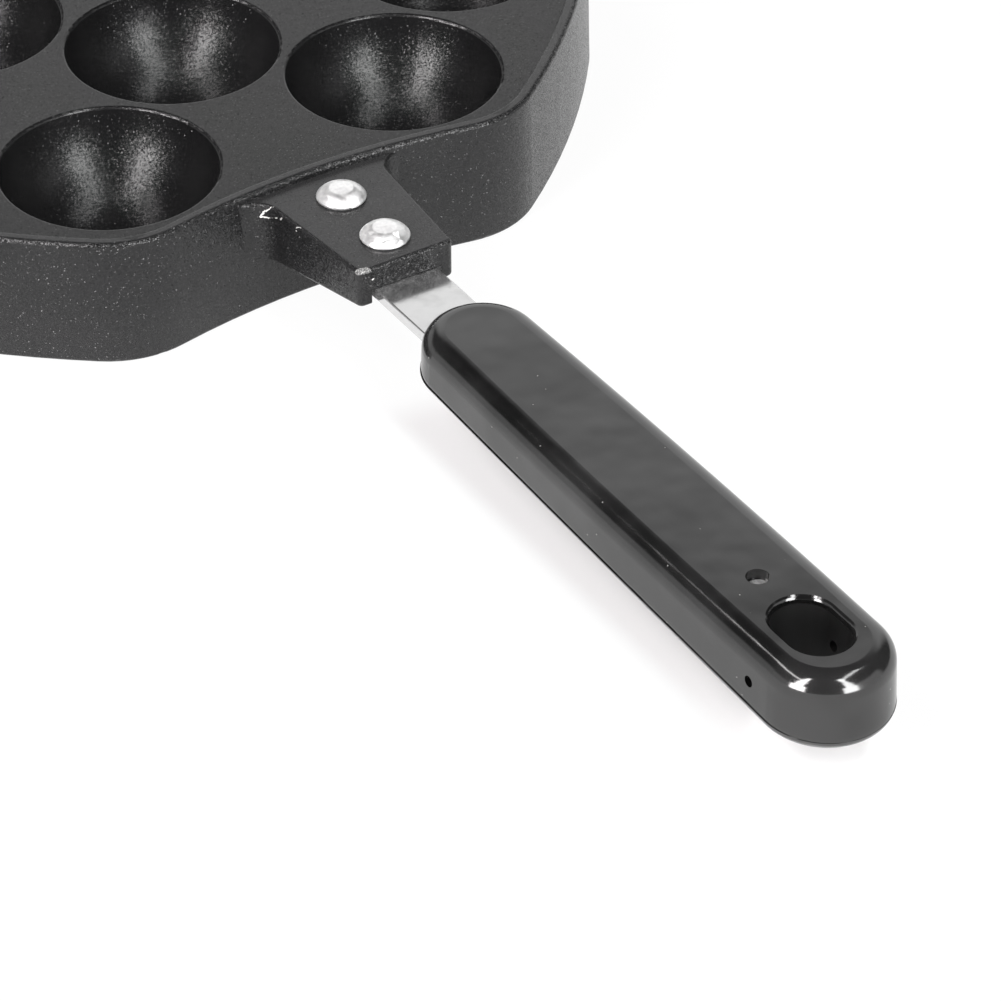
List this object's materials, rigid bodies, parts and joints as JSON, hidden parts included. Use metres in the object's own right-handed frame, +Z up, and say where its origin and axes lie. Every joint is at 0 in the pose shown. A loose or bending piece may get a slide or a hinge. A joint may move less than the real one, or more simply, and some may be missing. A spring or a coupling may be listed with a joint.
{
  "type": "takoyaki pan",
  "caption": "Stovetop pan whose plate holds round cups for takoyaki balls, with a riveted flat steel tang and a moulded handle grip that has a hanging slot.",
  "frame": {"origin": "the middle of the cups' grid, on the surface that the skirt rests on", "axes": "+Z is up; the handle points along -Y; +X is to the right when the handle points at the viewer"},
  "size_m": [0.1734, 0.3384, 0.0259],
  "materials": {
    "coated_casting": "die-cast aluminium with a satin charcoal non-stick coating that holds fine bright flakes",
    "tang_steel": "bright rolled steel strip with fine scratches",
    "rivet_metal": "bright headed aluminium, lightly scuffed",
    "grip_phenolic": "glossy black moulded phenolic"
  },
  "bodies": {
    "root": {"pan_casting": "coated_casting", "handle_tang": "tang_steel", "rivet_inner": "rivet_metal", "rivet_outer": "rivet_metal", "handle_grip": "grip_phenolic"}
  },
  "joints": []
}
